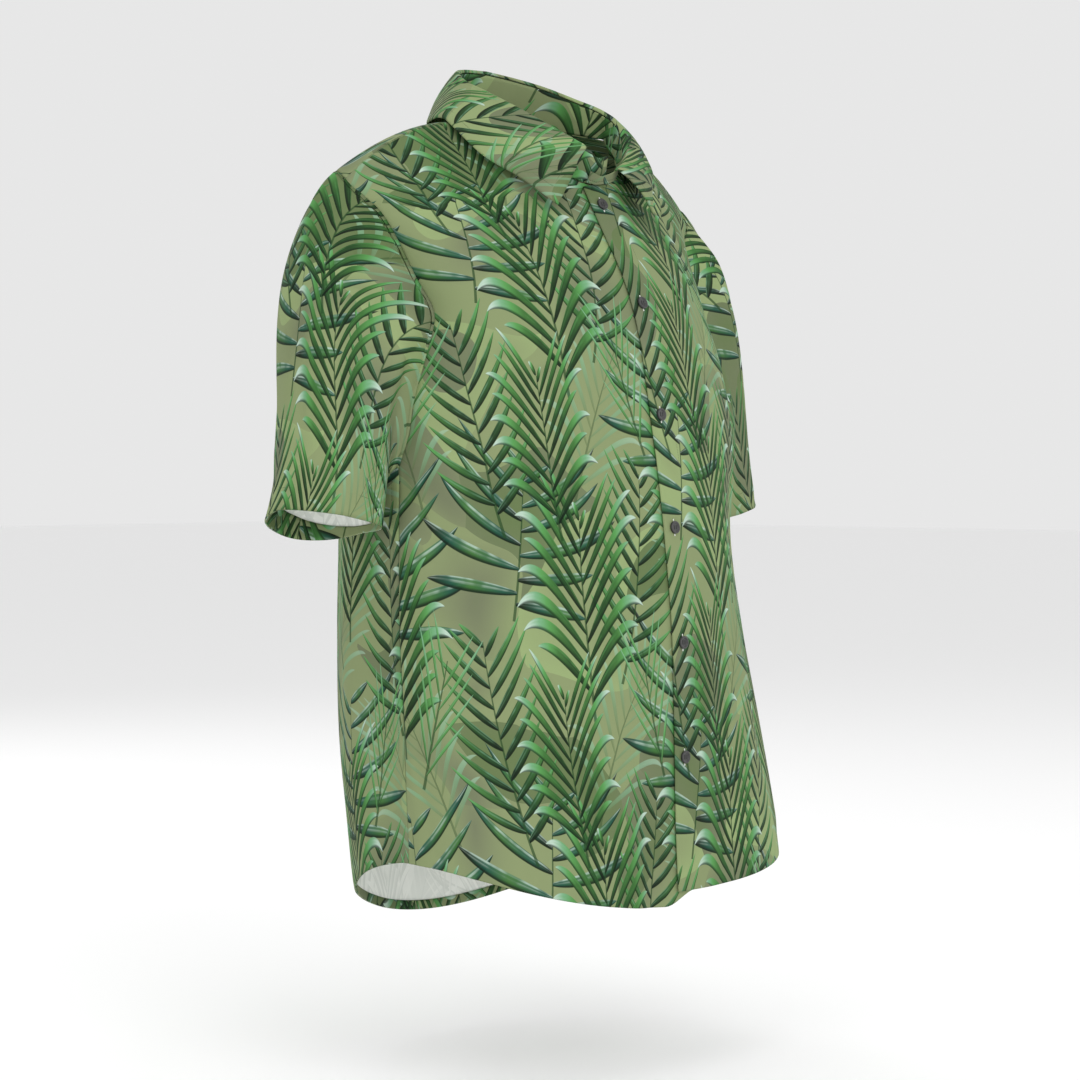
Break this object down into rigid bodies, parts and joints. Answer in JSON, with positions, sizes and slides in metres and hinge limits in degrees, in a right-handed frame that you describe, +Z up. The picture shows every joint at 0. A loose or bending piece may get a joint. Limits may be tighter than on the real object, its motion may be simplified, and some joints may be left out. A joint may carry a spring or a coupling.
{
  "type": "hawaiian shirt",
  "caption": "Short-sleeved button-front shirt with a pointed collar, placket and curved hem, printed all over with palm leaves, in its hollow worn shape.",
  "frame": {"origin": "midway between the two points where the shoulder seams meet the collar, where the wearer's shoulders hold the shirt up", "axes": "+Z up, +X towards the wearer's left, and the buttoned front looks along -Y"},
  "size_m": [0.6532, 0.3396, 0.8085],
  "materials": {
    "front_right": "soft palm-leaf print outside, off-white inside",
    "front_left": "soft palm-leaf print outside, off-white inside",
    "placket": "soft palm-leaf print",
    "back": "soft palm-leaf print outside, off-white inside",
    "sleeve_right": "soft palm-leaf print outside, off-white inside",
    "sleeve_left": "soft palm-leaf print outside, off-white inside",
    "collar_stand": "soft palm-leaf print",
    "collar_fall": "soft palm-leaf print",
    "hem_front_right": "printed side turned inwards",
    "hem_front_left": "printed side turned inwards",
    "hem_back": "printed side turned inwards",
    "sleeve_hem_right": "printed side turned inwards",
    "sleeve_hem_left": "printed side turned inwards",
    "button_1": "charcoal, satin",
    "button_2": "charcoal, satin",
    "button_3": "charcoal, satin",
    "button_4": "charcoal, satin",
    "button_5": "charcoal, satin",
    "button_6": "charcoal, satin"
  },
  "bodies": {
    "root": {"front_right": "front_right", "front_left": "front_left", "placket": "placket", "back": "back", "sleeve_right": "sleeve_right", "sleeve_left": "sleeve_left", "collar_stand": "collar_stand", "collar_fall": "collar_fall", "hem_front_right": "hem_front_right", "hem_front_left": "hem_front_left", "hem_back": "hem_back", "sleeve_hem_right": "sleeve_hem_right", "sleeve_hem_left": "sleeve_hem_left", "button_1": "button_1", "button_2": "button_2", "button_3": "button_3", "button_4": "button_4", "button_5": "button_5", "button_6": "button_6"}
  },
  "joints": []
}
